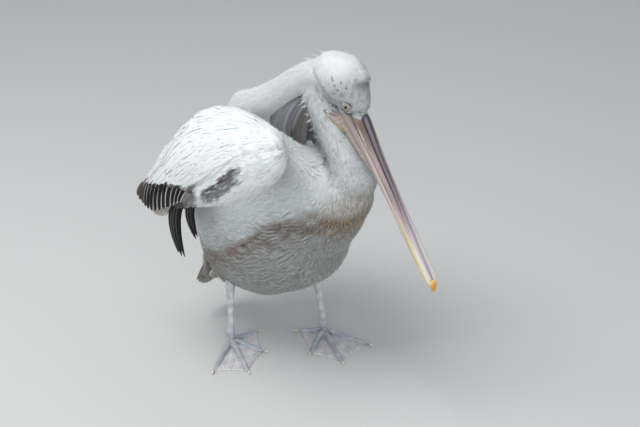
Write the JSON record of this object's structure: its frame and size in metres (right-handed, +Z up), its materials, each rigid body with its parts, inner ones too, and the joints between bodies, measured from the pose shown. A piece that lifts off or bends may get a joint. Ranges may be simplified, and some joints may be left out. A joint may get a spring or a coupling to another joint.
{
  "type": "pelican",
  "caption": "Life-size standing pelican with folded neck, bill held down in front, one wing drooping, webbed feet flat on the floor.",
  "frame": {"origin": "on the floor, under the middle of the whole bird's box", "axes": "+X the way the trunk faces, +Y to the bird's left, +Z up"},
  "size_m": [0.6548, 0.367, 0.6544],
  "materials": {
    "plumage": "silvery white contour feathers, stained brown and grey below, matte",
    "shaded_plumage": "grey down in the fold of the neck, matte",
    "flight_feathers": "brown-black vanes with narrow pale edges, slight sheen",
    "hand_feathers": "black vanes with pale shafts, slight sheen",
    "bill": "grey-pink horn with a lilac ridge and cream edges, satin",
    "pouch": "pinkish bare skin with a yellow-green upper edge, satin",
    "nail": "orange horn, satin",
    "eye": "pale iris with a small black pupil, glossy",
    "leg_skin": "lead-grey scaled skin and webs, matte",
    "claw": "cream horn, satin"
  },
  "bodies": {
    "root": {"eye_right": "eye", "eye_left": "eye", "bill_nail": "nail", "bill_upper": "bill", "bill_lower": "pouch", "pouch": "pouch", "head": "plumage", "throat": "plumage", "neck_upper": "plumage", "neck_lower": "plumage", "neck_web": "shaded_plumage", "trunk": "plumage", "tail": "flight_feathers", "wing_right": "plumage", "wing_right_secondaries": "flight_feathers", "wing_right_primaries": "hand_feathers", "wing_left": "plumage", "wing_left_secondaries": "flight_feathers", "wing_left_primaries": "hand_feathers", "leg_right": "leg_skin", "foot_right": "leg_skin", "claw_right_1": "claw", "claw_right_2": "claw", "claw_right_3": "claw", "claw_right_4": "claw", "leg_left": "leg_skin", "foot_left": "leg_skin", "claw_left_1": "claw", "claw_left_2": "claw", "claw_left_3": "claw", "claw_left_4": "claw"}
  },
  "joints": []
}
